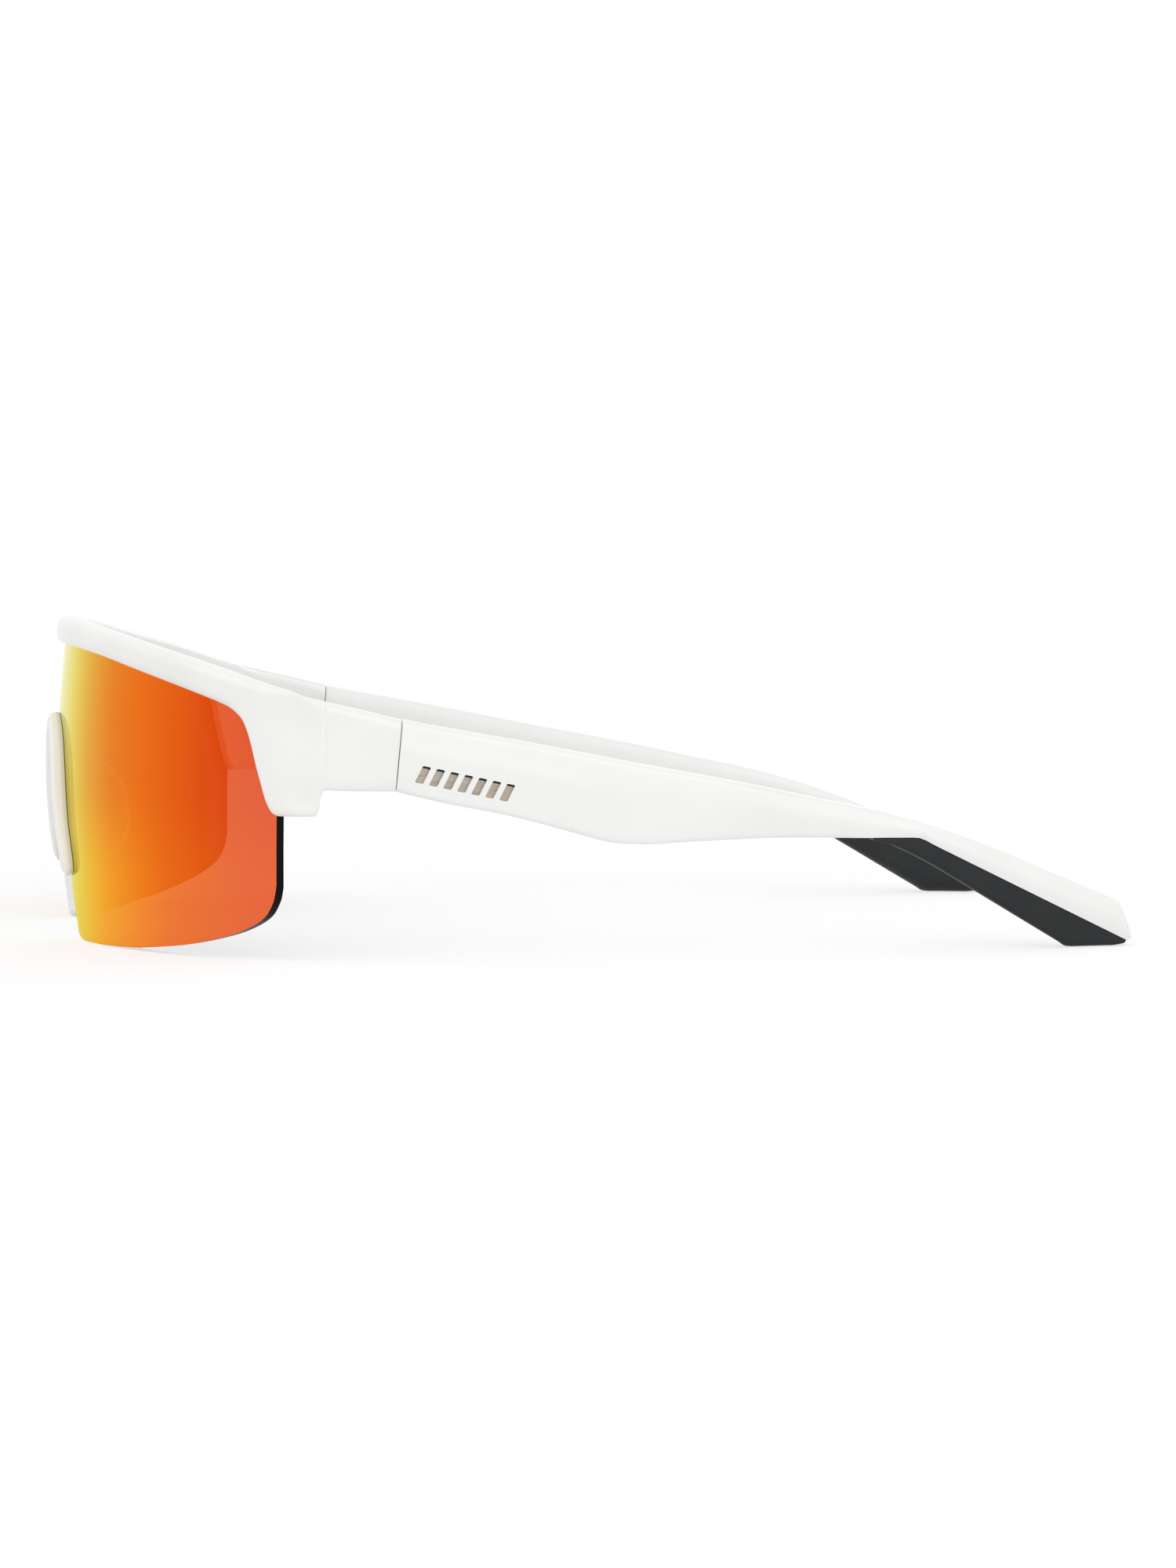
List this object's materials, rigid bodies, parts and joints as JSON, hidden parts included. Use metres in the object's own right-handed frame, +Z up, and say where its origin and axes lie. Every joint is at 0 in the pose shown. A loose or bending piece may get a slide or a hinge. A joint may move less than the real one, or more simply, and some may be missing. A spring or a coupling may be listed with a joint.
{
  "type": "wraparound sport sunglasses",
  "caption": "Half-rim sport sunglasses: a curved one-piece shield lens under a wraparound brow, a clip-in nose piece, and folding arms with rubber grips on barrel hinges.",
  "frame": {"origin": "centre of the footprint, on the surface that the open glasses stand on", "axes": "+X to the wearer's left across the face, +Y from the lens back along the arms, +Z up"},
  "size_m": [0.1342, 0.1674, 0.0508],
  "materials": {
    "frame_white": "glossy injection-moulded white nylon",
    "nose_white": "soft white silicone, satin",
    "grip_black": "satin black moulded rubber",
    "lens_mirror": "polycarbonate with a gold and orange mirror coating",
    "hinge_steel": "fine-turned stainless steel",
    "inlay_metal": "satin taupe metal"
  },
  "bodies": {
    "front": {"front_frame": "frame_white", "shield_lens": "lens_mirror", "nose_bridge": "nose_white", "left_nose_pad": "nose_white", "left_front_leaf": "hinge_steel", "left_front_leaf_screws": "hinge_steel", "left_hinge_screw": "hinge_steel", "right_nose_pad": "nose_white", "right_front_leaf": "hinge_steel", "right_front_leaf_screws": "hinge_steel", "right_hinge_screw": "hinge_steel"},
    "left_arm": {"left_temple": "frame_white", "left_temple_grip": "grip_black", "left_temple_inlay": "inlay_metal", "left_temple_leaf": "hinge_steel", "left_temple_leaf_screws": "hinge_steel"},
    "right_arm": {"right_temple": "frame_white", "right_temple_grip": "grip_black", "right_temple_inlay": "inlay_metal", "right_temple_leaf": "hinge_steel", "right_temple_leaf_screws": "hinge_steel"}
  },
  "joints": [
    {"name": "left_temple_fold", "type": "hinge", "parent": "front", "child": "left_arm", "pos_m": [0.06153, -0.0327, 0.0299], "axis": [0, 0.0941, 0.9956], "range_deg": [0, 92]},
    {"name": "right_temple_fold", "type": "hinge", "parent": "front", "child": "right_arm", "pos_m": [-0.06153, -0.0327, 0.0299], "axis": [0, -0.0941, -0.9956], "range_deg": [0, 82]}
  ]
}
